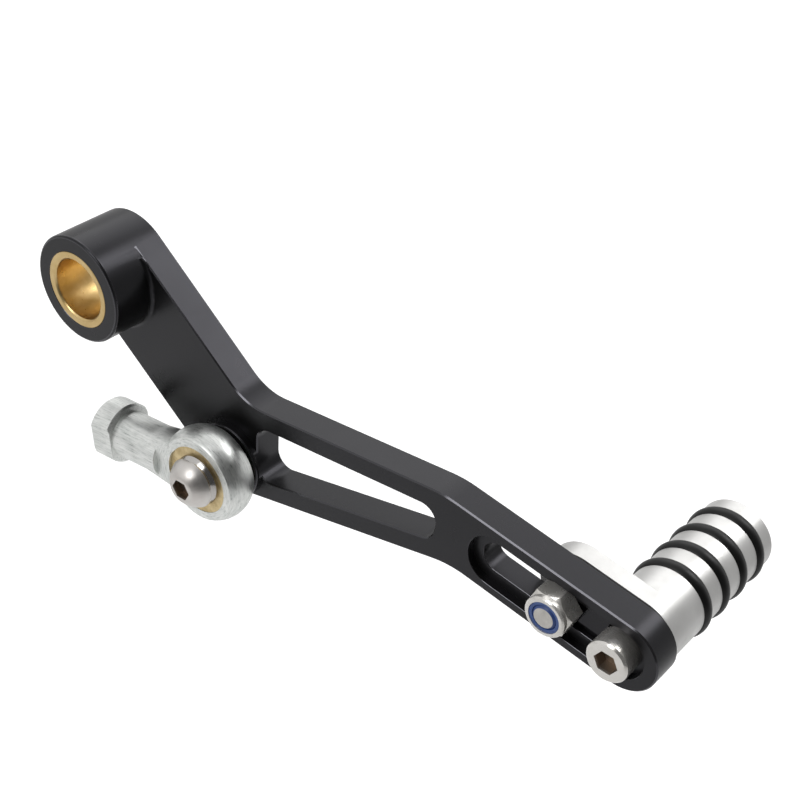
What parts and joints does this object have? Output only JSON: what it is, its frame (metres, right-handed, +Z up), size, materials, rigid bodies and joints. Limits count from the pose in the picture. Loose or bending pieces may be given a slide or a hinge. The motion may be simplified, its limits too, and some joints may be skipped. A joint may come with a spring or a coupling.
{
  "type": "motorcycle gear shift lever",
  "caption": "Cranked black shift lever: plate arm with window and slot, bushed pivot hub, rod end on a boss and a sliding round toe peg with rubber rings.",
  "frame": {"origin": "on the pivot bore axis, in the engine side face of the arm plate", "axes": "+X from the pivot to the toe peg, +Y away from the engine along the peg, +Z up"},
  "size_m": [0.1743, 0.0678, 0.0581],
  "materials": {
    "anodised_black": "satin anodised black",
    "bearing_bronze": "turned bearing bronze, lightly oiled",
    "zinc_steel": "zinc plated steel, brushed",
    "chrome_steel": "polished bearing steel",
    "anodised_clear": "turned aluminium, clear anodised",
    "black_rubber": "smooth black rubber",
    "blue_nylon": "blue nylon"
  },
  "bodies": {
    "lever": {"lever_arm": "anodised_black", "pivot_bush": "bearing_bronze", "rod_screw": "zinc_steel"},
    "ball": {"rod_ball": "chrome_steel"},
    "rod": {"rod_housing": "zinc_steel", "rod_race": "bearing_bronze"},
    "peg": {"toe_peg": "anodised_clear", "slot_key": "anodised_black", "peg_ring_1": "black_rubber", "peg_ring_2": "black_rubber", "peg_ring_3": "black_rubber", "peg_ring_4": "black_rubber", "peg_screw": "zinc_steel", "lock_bolt": "zinc_steel", "lock_nut": "zinc_steel", "nut_insert": "blue_nylon"}
  },
  "joints": [
    {"name": "peg_slide", "type": "slide", "parent": "lever", "child": "peg", "axis": [-0.9994, 0, -0.0349], "range_m": [0, 0.016]},
    {"name": "rod_swing", "type": "hinge", "parent": "lever", "child": "ball", "pos_m": [0.0453, -0.008, -0.0274], "axis": [0, -1, 0], "range_deg": [0, 110]},
    {"name": "rod_tilt", "type": "hinge", "parent": "ball", "child": "rod", "pos_m": [0.0453, -0.008, -0.0274], "axis": [0.284, 0, -0.9588], "range_deg": [-5, 5]}
  ]
}
